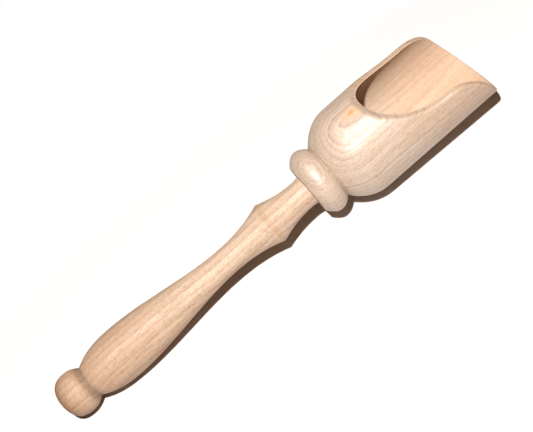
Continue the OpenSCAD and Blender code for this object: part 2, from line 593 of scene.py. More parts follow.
@dataclass(frozen=True)
class BeechFinish:
    """Turned and sanded beech, cut from a plank whose pith lies off to one side.

    Attributes:
        name: The material's name.
        pale: Colour of the early wood.
        warm: Colour of the warmer blotches.
        late: Colour of the late wood that ends each ring.
        ray: Colour of the ray dashes.
        ring_pitch: Mean width of a growth ring.
        pith: Where the pith lies from the lathe axis, to the side and up.
        sway: How far the fibres wander from straight.
        ring_contrast: How strongly late wood shows.
        streak_contrast: How strongly the lengthwise streaks show.
        line_contrast: How strongly the fine lengthwise lines show.
        speckle: How strongly the cut ends of the fibres show.
        ray_share: Share of the rays that show as dashes.
        ray_contrast: How dark a common ray dash is.
        warm_from: Where along the axis the wood is at its warmest.
        warm_to: Where it is at its palest.
        seed: Shifts every pattern, so that no two blanks are alike.
        roughness: Mean roughness of the sanded surface.
        shine: Specular level.
        end_from: How far a surface must face along the fibres to show end grain.
        end_tone: What end grain does to the colour.
        bore: The bored surface, where there is one.
        knots: Pin knots in the upper half.
        stains_and_shade: Darker bands round the axis: stains in the wood, and painted shade in
            grooves and on the knob's end.
    """

    name: str
    pale: Triple
    warm: Triple
    late: Triple
    ray: Triple
    ring_pitch: float
    pith: tuple[float, float]
    sway: float
    ring_contrast: float
    streak_contrast: float
    line_contrast: float
    speckle: float
    ray_share: float
    ray_contrast: float
    warm_from: float
    warm_to: float
    seed: float
    roughness: float
    shine: float
    end_from: float
    end_tone: Triple
    bore: BoredFace | None = None
    knots: tuple[PinKnot, ...] = ()
    stains_and_shade: tuple[StainAndShadeBand, ...] = ()

    def material(self, axis: LatheAxis) -> bpy.types.Material:
        """Builds the wood.

        Args:
            axis: The lathe axis, along which the fibres run.

        Returns:
            The material.
        """
        sheet = NodeSheet(self.name)
        straight = self._in_the_blank(sheet, axis)
        place = self._wandering(sheet, straight)
        coords = sheet.split(place)
        rings = self._rings(sheet, place)
        streaks, lines, fibres = (sheet.grain(place, g) for g in (STREAKS, LINES, FIBRES))
        dashes, marks = self._rays(sheet, place)
        end_grain = self._end_grain(sheet, axis)
        ground = self._ground(sheet, place, coords[0])
        colour = sheet.mix(sheet.times(rings, self.ring_contrast), ground, self.late)
        for figure, tones, contrast in ((streaks, STREAK_TONES, self.streak_contrast),
                                        (lines, LINE_TONES, self.line_contrast),
                                        (fibres, FIBRE_TONES, self.speckle)):
            colour = sheet.tint(contrast, colour, sheet.ramp(figure, tones))
        colour = sheet.mix(sheet.times(dashes, self.ray_contrast), colour, self.ray)
        colour = sheet.mix(sheet.times(marks, RARE_CONTRAST), colour, self.ray)
        for knot in self.knots:
            colour = self._knotted(sheet, colour, coords, knot)
        # Darker bands: stains in the wood, and painted shade in grooves and on the knob's end
        for tone_band in self.stains_and_shade:
            away = sheet.math("ABSOLUTE", sheet.math("SUBTRACT", coords[0], tone_band.x))
            share = sheet.range(away, tone_band.reach * BAND_CORE, tone_band.reach, 1.0, 0.0)
            colour = sheet.tint(share, colour, tone_band.tone)
        colour = sheet.tint(end_grain, colour, self.end_tone)
        rough = self._roughness(sheet, place, rings, fibres, dashes)
        if self.bore:
            bored = self._bored(sheet, straight, self.bore)
            colour = sheet.mix(sheet.times(bored, self.bore.plain), colour, ground)
            # The bore's paler tone, lifted as painted light for the hollow's bounced light
            colour = sheet.tint(bored, colour, self.bore.tone)
            rough = sheet.math("MULTIPLY_ADD", bored, self.bore.rough, rough)
        rough = sheet.math("MULTIPLY_ADD", end_grain, END_ROUGHNESS, rough, clamp=True)
        relief = self._relief(sheet, place, streaks, fibres)
        return sheet.finished({"Base Color": colour, "Roughness": rough, "Normal": relief,
                               "Specular IOR Level": self.shine})

    @staticmethod
    def _in_the_blank(sheet: NodeSheet, axis: LatheAxis) -> Socket:
        """Finds coordinates in the blank.

        Args:
            sheet: The node sheet.
            axis: The lathe axis.

        Returns:
            Distances along the fibres, to the side and up.
        """
        inputs = {"Vector": sheet.node("ShaderNodeTexCoord").outputs["Object"],
                  "Location": tuple(axis.origin), "Rotation": axis.rotation()}
        return sheet.node("ShaderNodeMapping", inputs, vector_type="TEXTURE").outputs[0]

    def _wandering(self, sheet: NodeSheet, straight: Socket) -> Socket:
        """Lets the coordinates sway and shiver as the fibres do.

        Args:
            sheet: The node sheet.
            straight: Straight coordinates in the blank.

        Returns:
            The swaying coordinates.
        """
        shift = tuple(self.seed * share for share in SEED_SHIFT)
        moves = []
        for grain, reach in ((WIDE_SWAY, self.sway), (FINE_SWAY, SHIVER)):
            noise = sheet.grain(straight, grain, shift, colour=True)
            centred = sheet.vector("SUBTRACT", noise, (0.5, 0.5, 0.5))
            moves.append(sheet.vector("MULTIPLY", centred, (0.0, reach, reach)))
        return sheet.vector("ADD", straight, sheet.vector("ADD", *moves))

    def _rings(self, sheet: NodeSheet, place: Socket) -> Socket:
        """Lays out the growth rings round the pith.

        Args:
            sheet: The node sheet.
            place: Coordinates in the blank.

        Returns:
            The late wood's share, from 0 to 1: a soft rise and a fine broken line.
        """
        from_pith = sheet.vector("SUBTRACT", place, (0.0, *self.pith))
        flat = sheet.vector("MULTIPLY", from_pith, (0.0, 1.0, 1.0))
        years = sheet.math("DIVIDE", sheet.vector("LENGTH", flat, out=1), self.ring_pitch)
        spread = sheet.node("ShaderNodeTexNoise", {"W": years, "Scale": UNEVEN_SCALE,
                                                   "Detail": 1.0}, noise_dimensions="1D")
        phase = sheet.math("FRACT", sheet.math("MULTIPLY_ADD", spread.outputs["Fac"],
                                               RING_UNEVENNESS, years))
        rise = sheet.times(sheet.range(phase, *LATE_RISE, 0.0, LATE_DEPTH),
                           sheet.range(phase, *LATE_FALL, 1.0, 0.0))
        line = sheet.times(sheet.range(phase, *LINE_RISE),
                           sheet.range(phase, *LINE_FALL, 1.0, 0.0))
        broken = sheet.range(sheet.grain(place, BREAKS), *LINE_BREAKS, *LINE_DEPTHS)
        return sheet.math("ADD", rise, sheet.times(line, broken), clamp=True)

    def _rays(self, sheet: NodeSheet, place: Socket) -> tuple[Socket, Socket]:
        """Scatters the rays, thin sheets that run outwards from the pith.

        Args:
            sheet: The node sheet.
            place: Coordinates in the blank.

        Returns:
            The common fine dashes and the rare dark marks.
        """
        turn = math.atan2(self.pith[1], self.pith[0])
        across = sheet.stretch(place, turn=(-turn, 0.0, 0.0))
        return (self._spots(sheet, across, COMMON_RAYS, self.ray_share),
                self._spots(sheet, across, RARE_RAYS, RARE_SHARE))

    def _spots(self, sheet: NodeSheet, across: Socket, spots: RaySpots,
               share: float) -> Socket:
        """Scatters spots, of which only a share shows.

        Args:
            sheet: The node sheet.
            across: Coordinates with Y running outwards from the pith.
            spots: Their size and shape.
            share: Share of the spots that show.

        Returns:
            The spots' strength.
        """
        place = sheet.stretch(across, spots.scale, shift=(self.seed, 0.0, 0.0))
        cells = sheet.node("ShaderNodeTexVoronoi", {"Vector": place, "Scale": 1.0}, feature="F1")
        body = sheet.range(cells.outputs["Distance"], spots.solid, spots.edge, 1.0, 0.0)
        chosen = sheet.node("ShaderNodeSeparateColor", {0: cells.outputs["Color"]})
        return sheet.times(body, sheet.range(chosen.outputs[0], 1 - share, 1.0))

    def _end_grain(self, sheet: NodeSheet, axis: LatheAxis) -> Socket:
        """Finds where the fibres' ends show.

        Args:
            sheet: The node sheet.
            axis: The lathe axis.

        Returns:
            How far the surface faces along the fibres, from 0 to 1.
        """
        surface = sheet.node("ShaderNodeNewGeometry")
        facing = sheet.vector("DOT_PRODUCT", surface.outputs["Normal"], tuple(axis.along), out=1)
        return sheet.range(sheet.math("ABSOLUTE", facing), self.end_from,
                           self.end_from + END_SPREAD)

    @staticmethod
    def _bored(sheet: NodeSheet, straight: Socket, bore: BoredFace) -> Socket:
        """Finds the surface that the bore leaves.

        Args:
            sheet: The node sheet.
            straight: Straight coordinates in the blank.
            bore: The bored surface.

        Returns:
            1 on it, 0 off it.
        """
        radius = sheet.vector("LENGTH", sheet.vector("MULTIPLY", straight, (0.0, 1.0, 1.0)), out=1)
        within = sheet.range(radius, bore.reach - bore.radius_fade,
                             bore.reach + bore.radius_fade, 1.0, 0.0)
        beyond = sheet.range(sheet.split(straight)[0], bore.start - bore.start_fade, bore.start)
        return sheet.times(within, beyond)

    def _ground(self, sheet: NodeSheet, place: Socket, along: Socket) -> Socket:
        """Colours the wood under its figure, in blotches and along the blank.

        Args:
            sheet: The node sheet.
            place: Coordinates in the blank.
            along: Distance along the axis.

        Returns:
            The colour, from pale to warm.
        """
        drift = sheet.range(along, self.warm_from, self.warm_to, *WARM_DRIFT)
        blotch = sheet.math("ADD", sheet.grain(place, BLOTCHES), drift)
        return sheet.mix(sheet.range(blotch, *WARM_RANGE), self.pale, self.warm)

    @staticmethod
    def _knotted(sheet: NodeSheet, colour: Socket, coords: list[Socket],
                 knot: PinKnot) -> Socket:
        """Stains the colour where a pin knot reaches the upper surface.

        Args:
            sheet: The node sheet.
            colour: The colour without the knot.
            coords: Distances along the fibres, to the side and up.
            knot: The knot.

        Returns:
            The stained colour.
        """
        squares = []
        for distance, middle, size in zip(coords, (knot.x, knot.side), (knot.length, knot.width)):
            off = sheet.math("DIVIDE", sheet.math("SUBTRACT", distance, middle), size)
            squares.append(sheet.times(off, off))
        away = sheet.math("SQRT", sheet.math("ADD", *squares))
        above = sheet.range(coords[2], *KNOT_RISE)
        halo = sheet.times(sheet.range(away, *HALO_REACH, HALO_SHARE, 0.0), above)
        core = sheet.times(sheet.range(away, *CORE_REACH, 1.0, 0.0), above)
        return sheet.mix(core, sheet.mix(halo, colour, KNOT_HALO), KNOT_CORE)

    def _roughness(self, sheet: NodeSheet, place: Socket, rings: Socket, fibres: Socket,
                   dashes: Socket) -> Socket:
        """Works out how rough the sanded surface is.

        Args:
            sheet: The node sheet.
            place: Coordinates in the blank.
            rings: The late wood's share.
            fibres: The speckle of cut fibres.
            dashes: The common rays' strength.

        Returns:
            The roughness.
        """
        low, high = (self.roughness + change for change in WORN_ROUGHNESS)
        rough = sheet.range(sheet.grain(place, WORN_PATCHES), *WORN_RANGE, low, high)
        dark = sheet.math("SUBTRACT", 0.5, fibres)
        for figure, change in ((dark, FIBRE_ROUGHNESS), (rings, RING_ROUGHNESS),
                               (dashes, RAY_ROUGHNESS)):
            rough = sheet.math("MULTIPLY_ADD", figure, change, rough)
        return rough

    @staticmethod
    def _relief(sheet: NodeSheet, place: Socket, streaks: Socket, fibres: Socket) -> Socket:
        """Raises tool marks, streaks and fibres.

        Args:
            sheet: The node sheet.
            place: Coordinates in the blank.
            streaks: The lengthwise streaks.
            fibres: The speckle of cut fibres.

        Returns:
            The surface's normal.
        """
        relief = None
        for height, depth in ((sheet.grain(place, TOOL_MARKS), TOOL_DEPTH),
                              (streaks, STREAK_DEPTH), (fibres, FIBRE_DEPTH)):
            relief = sheet.bump(height, depth, relief)
        return relief


@dataclass(frozen=True)
class GlueFinish:
    """Cured wood glue, brown and half clear, with dust in it.

    Attributes:
        name: The material's name.
        dark: Colour where it is thick.
        light: Colour where it is thin.
        cloud_range: The stretch of the clouds over which it thins.
        gloss_range: The stretch over which it dulls.
        roughness: Its roughness, from dark to light.
        depth: Depth of its unevenness.
    """

    name: str = "cured_glue"
    dark: Triple = (0.085, 0.036, 0.014)
    light: Triple = (0.26, 0.13, 0.055)
    cloud_range: tuple[float, float] = (0.35, 0.7)
    gloss_range: tuple[float, float] = (0.3, 0.7)
    roughness: tuple[float, float] = (0.32, 0.55)
    depth: float = 0.04 * MM

    def material(self) -> bpy.types.Material:
        """Builds the glue.

        Returns:
            The material.
        """
        sheet = NodeSheet(self.name)
        cloud = sheet.grain(sheet.node("ShaderNodeTexCoord").outputs["Object"], GLUE_CLOUDS)
        colour = sheet.mix(sheet.range(cloud, *self.cloud_range), self.dark, self.light)
        rough = sheet.range(cloud, *self.gloss_range, *self.roughness)
        return sheet.finished({"Base Color": colour, "Roughness": rough,
                               "Normal": sheet.bump(cloud, self.depth)})


@dataclass(frozen=True)
class PaperFinish:
    """The plain pale sweep that the scoop lies on, lit white to the camera further out.

    Attributes:
        name: The material's name.
        colour: Its colour.
        roughness: Its roughness.
        shine: Its specular level.
        white_from: Distance from the scoop at which the sweep starts to be lit white.
        white_by: Distance at which it is fully white.
        lengthwise: What a distance along the scoop counts for, against one across it.
    """

    name: str = "pale_sweep"
    colour: Triple = (0.645, 0.615, 0.595)
    roughness: float = 0.9
    shine: float = 0.1
    white_from: float = 60 * MM
    white_by: float = 120 * MM
    lengthwise: float = 0.3

    def material(self) -> bpy.types.Material:
        """Builds the sweep's matt white.

        Returns:
            The material.
        """
        sheet = NodeSheet(self.name)
        coords, ray = sheet.node("ShaderNodeTexCoord"), sheet.node("ShaderNodeLightPath")
        squeezed = sheet.vector("MULTIPLY", coords.outputs["Object"], (self.lengthwise, 1.0, 1.0))
        away = sheet.vector("LENGTH", squeezed, out=1)
        far = sheet.range(away, self.white_from, self.white_by)
        white = sheet.node("ShaderNodeEmission", {"Color": WHITE})
        blend = sheet.node("ShaderNodeMixShader", {
            0: sheet.times(far, ray.outputs["Is Camera Ray"]),
            1: sheet.shader.outputs[0],
            2: white.outputs[0]})
        sheet.feed(sheet.tree.nodes["Material Output"].inputs["Surface"], blend.outputs[0])
        return sheet.finished({"Base Color": self.colour, "Roughness": self.roughness,
                               "Specular IOR Level": self.shine})


# --------------------------------------------------------------------------- the pieces


@dataclass
class Joint:
    """The glued joint between collar and handle.

    Attributes:
        tenon_r: Radius of the tenon.
        tenon_len: Length of the tenon.
        chamfer: Chamfer on its end.
        glue: Thickness of the glue round the tenon and between the faces.
        pad: Thickness of the glue beyond the tenon.
        end_gap: Air beyond the pad.
        shoulder_r: Radius where the handle meets the collar.
    """

    tenon_r: float = 7.0 * MM
    tenon_len: float = 16.0 * MM
    chamfer: float = 1.0 * MM
    glue: float = 0.1 * MM
    pad: float = 0.4 * MM
    end_gap: float = 1.1 * MM
    shoulder_r: float = 9.3 * MM

    @property
    def socket_r(self) -> float:
        """Radius of the socket."""
        return self.tenon_r + self.glue

    @property
    def socket_len(self) -> float:
        """Depth of the socket."""
        return self.tenon_len + self.pad + self.end_gap


# The mark that parting off leaves on the knob's end, from its middle outwards
PARTED_RADII = np.array([0.25, 0.6, 0.9, 1.15, 1.9, 2.8, 3.7, 4.5]) * MM
PARTED_DEPTHS = np.array([0.02, 0.05, 0.22, 0.30, 0.20, 0.15, 0.07, 0.01]) * MM
KNOB_POINTS = 25


@dataclass
class Handle:
    """The spindle: neck, ridge, waist, grip, V groove and knob, with its tenon.

    A field named _at lies that far from the collar's face, and slopes are radius per length.

    Attributes:
        joint: The joint with the collar.
        finish: Its wood.
        length: From the collar's face to the knob's end.
        grip_from_end: From the knob's end to the grip's largest radius.
        knob_front: From the knob's end to its largest radius.
        knob_len: From the knob's end to the V groove.
        knob_fullness: 2 would make the knob's end an ellipse, and more makes it squarer.
        v_rise: Slope up from the V groove to the grip.
        ridge_rise: Slope up to the ridge.
        ridge_fall: Slope down from it.
        flare: Slope at the collar.
        edge_back: Where the rounded edge at the collar starts, back from the glue.
        edge_drop: How much smaller the radius is there.
        edge_in: How far the rounded edge reaches in over the glue.
        pitch: Distance between points of the outline.
        ripple_depth: Greatest depth of the gouge's ripple.
        ripple_seed: Sets its pattern.
        columns: Points round the axis.
    """

    joint: Joint
    finish: BeechFinish
    length: float = 179.4 * MM
    neck_r: float = 8.7 * MM
    neck_at: float = 5.3 * MM
    ridge_r: float = 12.9 * MM
    ridge_at: float = 27.6 * MM
    waist_r: float = 7.8 * MM
    waist_at: float = 58.7 * MM
    grip_r: float = 15.2 * MM
    grip_from_end: float = 44.3 * MM
    v_groove_r: float = 9.6 * MM
    knob_r: float = 13.2 * MM
    knob_front: float = 10.3 * MM
    knob_len: float = 19.2 * MM
    knob_flat_r: float = 4.9 * MM
    knob_fullness: float = 2.6
    v_rise: float = 0.58
    v_soften: float = 0.12 * MM
    ridge_rise: float = 0.37
    ridge_fall: float = -0.36
    ridge_soften: float = 0.4 * MM
    flare: float = 0.25
    edge_back: float = 0.25 * MM
    edge_drop: float = 0.06 * MM
    edge_in: float = 0.3 * MM
    pitch: float = 0.75 * MM
    ripple_depth: float = 0.05 * MM
    ripple_seed: float = 1.7
    columns: int = 160

    @property
    def edge(self) -> tuple[float, float]:
        """Where the rounded edge at the collar starts."""
        return -self.joint.glue - self.edge_back, self.joint.shoulder_r - self.edge_drop

    def stations(self) -> list[Station]:
        """Lists the outline's places.

        Returns:
            The places, from the knob's largest radius to the collar.
        """
        knob_x = self.knob_front - self.length
        v_x = self.knob_len - self.length
        knob_fall = -1 / math.tan(math.acos((self.knob_len - self.knob_front) / self.knob_r))
        return [
            Station(knob_x, self.knob_r),
            Station(v_x, self.v_groove_r, knob_fall, self.v_rise, self.v_soften),
            Station(self.grip_from_end - self.length, self.grip_r),
            Station(-self.waist_at, self.waist_r),
            Station(-self.ridge_at, self.ridge_r, self.ridge_rise, self.ridge_fall,
                    self.ridge_soften),
            Station(-self.neck_at, self.neck_r),
            Station(*self.edge, self.flare),
        ]

    def knob_end(self) -> np.ndarray:
        """Draws the knob's end.

        Returns:
            Rows of (distance along the axis, radius), from the mark left by parting off to the
            largest radius.
        """
        power = 2 / self.knob_fullness
        turn = math.acos((self.knob_flat_r / self.knob_r) ** (self.knob_fullness / 2))
        w = turn * np.linspace(1, 0, KNOB_POINTS)
        x = -self.length + self.knob_front * (1 - np.sin(w) ** power / math.sin(turn) ** power)
        r = self.knob_r * np.cos(w) ** power
        curve = np.column_stack([x, r])[:-1]
        mark = np.column_stack([-self.length + PARTED_DEPTHS, PARTED_RADII])
        return np.vstack([mark, curve])

    def outline(self) -> np.ndarray:
        """Draws the whole outline.

        Returns:
            Rows of (distance along the axis, radius), from the knob's end to the tenon's end.
        """
        j = self.joint
        shoulder = rounded_corner(np.array(self.edge), np.array([-j.glue, j.shoulder_r]),
                                  np.array([-j.glue, j.shoulder_r - self.edge_in]), 3)[1:]
        tenon = np.array([
            [-j.glue, j.tenon_r + 0.4 * MM],
            [-j.glue, j.tenon_r],
            [j.tenon_len * 0.33, j.tenon_r],
            [j.tenon_len * 0.66, j.tenon_r],
            [j.tenon_len - j.chamfer, j.tenon_r],
            [j.tenon_len, j.tenon_r - j.chamfer],
            [j.tenon_len, j.tenon_r * 0.4],
        ])
        body = outline_through(self.stations(), self.pitch)
        return np.vstack([self.knob_end(), body, shoulder, tenon])

    def build(self, axis: LatheAxis) -> bpy.types.Object:
        """Turns the handle and dresses it.

        Args:
            axis: The lathe axis.

        Returns:
            The handle.
        """
        line = self.outline()
        turn = full_turn(self.columns)
        x, r = line[:, :1], line[:, 1:]
        outside = (x < -self.joint.glue) & (x > -self.length)
        r = r - np.where(outside, self.ripple_depth * ripple(x, turn, self.ripple_seed), 0.0)
        skin = Skin("handle_turned", self.columns)
        skin.add(axis.place(x, r, turn[None, :]))
        piece = skin.build(axis.centre(line[0, 0]), axis.centre(line[-1, 0]))
        piece.data.materials.append(self.finish.material(axis))
        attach(piece, "root")
        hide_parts("handle")
        return piece


# Points in each arc of the cut, points on the rim before they are evenly spaced, rings in a wall
CUT_POINTS, RIM_POINTS, WALL_RINGS = 900, 6000, 56
# How the columns of the turned rings crowd together towards the underside
FAN_POWER = 1.25
# How firmly the wall's columns leave the turned end and arrive square to the rim
LEAVE, ARRIVE = 0.9, 0.75
# Rings across the bottom of the bore, as shares of its flat radius, and its swell
BOTTOM_SHARES, BOTTOM_SWELL, CORNER_POINTS = (0.85, 0.68, 0.5, 0.33, 0.18, 0.07), 0.12 * MM, 26
# The gouge's patterns outside and in the bore
OUTSIDE_SEED, BORE_SEED = 0.4, 5.1


@dataclass
class ScoopBowl:
    """The bowl with its collar, bored from the mouth and cut away in front.

    Lengths along the axis are from the collar's face, and slopes are radius per length.

    Attributes:
        joint: The joint with the handle.
        finish: Its wood.
        wall: Thickness of the wall.
        web: Wood between the socket and the bottom of the bore.
        bore_corner: Radius between the wall and the bottom of the bore.
        cut_level: Height above the axis where the cut turns from hollow to nose.
        cut_back_r: Radius of the hollow back of the cut.
        nose_r: Radius where the cut turns down towards the lip.
        front_lean: How far the front edge leans back.
        face_r: Radius of the collar's flat face.
        groove_r: Radius of the groove behind the bead.
        face_edge: How far the face's edge is rounded along the axis.
        face_in: How far it is rounded in over the face.
        face_ease: Slope just behind it, against the full slope at the face.
        shoulder_rise: Slope up from the groove.
        groove_soften: How far the groove's bottom is rounded.
        pitch: Distance between points of the outline.
        outer_arris: How far the rim is sanded over outside.
        inner_arris: How far it is sanded over inside.
        rim_bands: Distances of the rings along the rim.
        ripple_depth: Greatest depth of the gouge's ripple.
        half_columns: Points half way round the axis.
    """

    joint: Joint
    finish: BeechFinish
    length: float = 118.0 * MM
    radius: float = 27.65 * MM
    wall: float = 3.3 * MM
    web: float = 9.0 * MM
    bore_corner: float = 14.0 * MM
    shoulder_len: float = 20.7 * MM
    cut_level: float = 11.2 * MM
    cut_back_r: float = 60.0 * MM
    nose_r: float = 22.0 * MM
    front_lean: float = math.radians(21.0)
    collar_len: float = 14.7 * MM
    face_r: float = 15.1 * MM
    bead_r: float = 20.5 * MM
    groove_r: float = 16.8 * MM
    face_edge: float = 0.35 * MM
    face_in: float = 0.4 * MM
    face_ease: float = 0.95
    shoulder_rise: float = 1.25
    groove_soften: float = 0.2 * MM
    pitch: float = 0.55 * MM
    outer_arris: float = 1.5 * MM
    inner_arris: float = 0.4 * MM
    rim_bands: tuple[float, ...] = (2.3 * MM, 3.2 * MM, 4.6 * MM)
    ripple_depth: float = 0.05 * MM
    half_columns: int = 128

    @property
    def bore_r(self) -> float:
        """Radius of the bore."""
        return self.radius - self.wall

    @property
    def bore_from(self) -> float:
        """Where the bore's bottom lies."""
        return self.joint.socket_len + self.web

    @property
    def shoulder_end(self) -> float:
        """Where the shoulder reaches the full radius."""
        return self.collar_len + self.shoulder_len

    @property
    def fan(self) -> np.ndarray:
        """Angles of one half's columns, from the top round to straight down."""
        return math.pi * (1 - np.linspace(0, 1, self.half_columns + 1)) ** FAN_POWER

    def cut_profile(self) -> np.ndarray:
        """Draws the cut as seen from the side.

        Returns:
            Rows of (distance along the axis, height).
        """
        nose_z = self.cut_level - self.nose_r
        lean = self.front_lean
        cut_x = (self.length - (nose_z + self.radius) * math.tan(lean)
                 - self.nose_r / math.cos(lean))
        back_z = self.cut_level + self.cut_back_r
        sweep = math.acos((back_z - self.radius) / self.cut_back_r)
        back = arc_outline((cut_x, back_z), self.cut_back_r,
                           -math.pi / 2 - sweep, -math.pi / 2, CUT_POINTS)
        nose = arc_outline((cut_x, nose_z), self.nose_r, math.pi / 2, lean, CUT_POINTS)
        return np.vstack([back[:-1], nose, [(self.length, -self.radius)]])

    def rim(self, radius: float) -> np.ndarray:
        """The edge that the cut leaves on a cylinder of this radius.

        Args:
            radius: The cylinder's radius, outside or in the bore.

        Returns:
            Rows of (distance along the axis, angle from straight down), evenly spaced in
            space, from the top of the opening round one side to the lip.
        """
        cut = self.cut_profile()
        height = np.linspace(0, math.pi, RIM_POINTS)
        x = np.interp(radius * np.cos(height), cut[::-1, 1], cut[::-1, 0])
        turn = math.pi - height
        path = np.column_stack([x, radius * np.sin(height), radius * np.cos(height)])
        steps = np.linalg.norm(np.diff(path, axis=0), axis=1)
        length = np.concatenate([[0], np.cumsum(steps)])
        even = np.linspace(0, length[-1], self.half_columns + 1)
        return np.column_stack([np.interp(even, length, x), np.interp(even, length, turn)])

    @staticmethod
    def inwards(rim: np.ndarray, radius: float) -> np.ndarray:
        """Finds which way the wall lies from its rim.

        Args:
            rim: The rim, as (distance along the axis, angle).
            radius: The wall's radius.

        Returns:
            Unit steps on the unrolled wall, as (along, round).
        """
        flat = np.column_stack([rim[:, 0], radius * rim[:, 1]])
        run = np.gradient(flat, axis=0)
        run /= np.linalg.norm(run, axis=1)[:, None]
        away = np.column_stack([run[:, 1], -run[:, 0]])
        away[0] = away[-1] = (-1.0, 0.0)
        return away

    def wall_rows(self, start_x: float, radius: float, arris: float) -> np.ndarray:
        """The wall's rings from where it runs straight to the start of its arris.

        Args:
            start_x: Where the straight wall starts.
            radius: The wall's radius.
            arris: How far the rim is sanded over.

        Returns:
            Rings of (distance along the axis, angle) for one half.
        """
        rim = self.rim(radius)
        away = self.inwards(rim, radius)
        flat_rim = np.column_stack([rim[:, 0], radius * rim[:, 1]])
        fan = self.fan
        first = np.column_stack([np.full_like(fan, start_x), radius * fan])
        last = flat_rim + self.rim_bands[-1] * away
        reach = np.linalg.norm(last - first, axis=1)[:, None]
        leave = np.column_stack([np.ones_like(fan), np.zeros_like(fan)]) * reach * LEAVE
        arrive = -away * reach * ARRIVE
        t = np.linspace(0, 1, WALL_RINGS)[:, None, None]
        u = 1 - t
        rows = (first * (1 + 2 * t) * u * u + last * (3 - 2 * t) * t * t
                + leave * t * u * u - arrive * t * t * u)
        bands = [flat_rim + d * away for d in (*self.rim_bands[-2::-1], arris)]
        flat = np.concatenate([rows, np.array(bands)])
        flat[..., 1] /= radius
        return flat

    @staticmethod
    def mirrored(half: np.ndarray) -> np.ndarray:
        """Carries one half's rings round the other side.

        Args:
            half: Rings of (distance along the axis, angle).

        Returns:
            The whole rings.
        """
        back = half[:, -2:0:-1].copy()
        back[..., 1] *= -1
        return np.concatenate([half, back], axis=1)

    def back_outline(self) -> np.ndarray:
        """Draws the socket, the face, the collar and the shoulder.

        Returns:
            Rows of (distance along the axis, radius), from the socket's bottom to the end of
            the shoulder.
        """
        j = self.joint
        rise = 2 * (self.bead_r - self.face_r) / (self.collar_len / 2)
        fall = 2 * (self.bead_r - self.groove_r) / (self.collar_len / 2)
        turned_r = self.face_r + self.face_edge * rise
        stations = [
            Station(self.face_edge, turned_r, rise * self.face_ease),
            Station(self.collar_len / 2, self.bead_r),
            Station(self.collar_len, self.groove_r, -fall, self.shoulder_rise,
                    self.groove_soften),
            Station(self.shoulder_end, self.radius),
        ]
        face_turn = rounded_corner(
            np.array([0.0, self.face_r - self.face_in]), np.array([0.0, self.face_r]),
            np.array([self.face_edge, turned_r]), 4)[:-1]
        socket = np.array([
            [j.socket_len, j.socket_r * 0.5],
            [j.socket_len, j.socket_r],
            [j.socket_len * 0.6, j.socket_r],
            [j.socket_len * 0.3, j.socket_r],
            [0.25 * MM, j.socket_r],
            [0.0, j.socket_r + 0.2 * MM],
            [0.0, j.shoulder_r],
            [0.0, (j.shoulder_r + self.face_r) / 2],
        ])
        return np.vstack([socket, face_turn, outline_through(stations, self.pitch)[:-1]])

    def bore_outline(self) -> np.ndarray:
        """Draws the bottom of the bore.

        Returns:
            Rows of (distance along the axis, radius), from the end of the straight bore to near
            its centre.
        """
        corner = (self.bore_from + self.bore_corner, self.bore_r - self.bore_corner)
        bend = arc_outline(corner, self.bore_corner, math.pi / 2, math.pi, CORNER_POINTS)[1:]
        r = np.array(BOTTOM_SHARES) * corner[1]
        swell = BOTTOM_SWELL * np.cos(r / corner[1] * math.pi / 2) ** 2
        return np.vstack([bend, np.column_stack([self.bore_from - swell, r])])

    def build(self, axis: LatheAxis) -> bpy.types.Object:
        """Turns, bores and cuts the bowl, and dresses it.

        Args:
            axis: The lathe axis.

        Returns:
            The bowl.
        """
        skin = Skin("scoop_bowl_turned", 2 * self.half_columns)
        fan = self.fan
        turn = self.mirrored(np.stack([0 * fan, fan], axis=-1)[None])[0, :, 1]

        line = self.back_outline()
        x, r = line[:, :1], line[:, 1:]
        depth = np.where(r > self.joint.shoulder_r + 1 * MM, self.ripple_depth, 0.0)
        skin.add(axis.place(x, r - depth * ripple(x, turn, OUTSIDE_SEED), turn[None, :]))

        outer = self.wall_rows(self.shoulder_end, self.radius, self.outer_arris)
        inner = self.wall_rows(self.bore_from + self.bore_corner, self.bore_r, self.inner_arris)
        walls = []
        for rows, radius, gouge, seed in (
                (outer, self.radius, -self.ripple_depth, OUTSIDE_SEED),
                (inner, self.bore_r, self.ripple_depth, BORE_SEED)):
            x, angle = np.moveaxis(self.mirrored(rows), -1, 0)
            walls.append(axis.place(x, radius + gouge * ripple(x, angle, seed), angle))
        outer_wall, inner_wall = walls[0], walls[1][::-1]
        skin.add(outer_wall)
        skin.add(self.rim_rows(axis, outer_wall[-1], inner_wall[0]))
        skin.add(inner_wall)

        line = self.bore_outline()
        x, r = line[:, :1], line[:, 1:]
        skin.add(axis.place(x, r + 0 * turn, turn[None, :]))
        piece = skin.build(axis.centre(self.joint.socket_len), axis.centre(line[-1, 0]))
        piece.data.materials.append(self.finish.material(axis))
        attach(piece, "root")
        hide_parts("scoop_bowl")
        return piece

    def rim_rows(self, axis: LatheAxis, outer_last: np.ndarray,
                 inner_first: np.ndarray) -> np.ndarray:
        """The rings over the rim: sanded arris, cut face, sanded arris.

        Args:
            axis: The lathe axis.
            outer_last: The outer wall's last ring.
            inner_first: The inner wall's first ring.

        Returns:
            The rings between those two.
        """
        edges = []
        for radius in (self.radius, self.bore_r):
            full = self.mirrored(self.rim(radius)[None])[0]
            edges.append(axis.place(full[:, 0], np.array(radius), full[:, 1]))
        outer_edge, inner_edge = edges
        across = inner_edge - outer_edge
        width = np.linalg.norm(across, axis=1)[:, None]
        across = across / width
        outer_in = outer_edge + across * self.outer_arris
        inner_in = inner_edge - across * self.inner_arris
        outer_turn = rounded_corner(outer_last, outer_edge, outer_in, CORNER_STEPS)[1:]
        inner_turn = rounded_corner(inner_in, inner_edge, inner_first, CORNER_STEPS)[:-1]
        t = np.array([0.33, 0.67])[:, None, None]
        return np.concatenate([outer_turn, outer_in + t * (inner_in - outer_in), inner_turn])


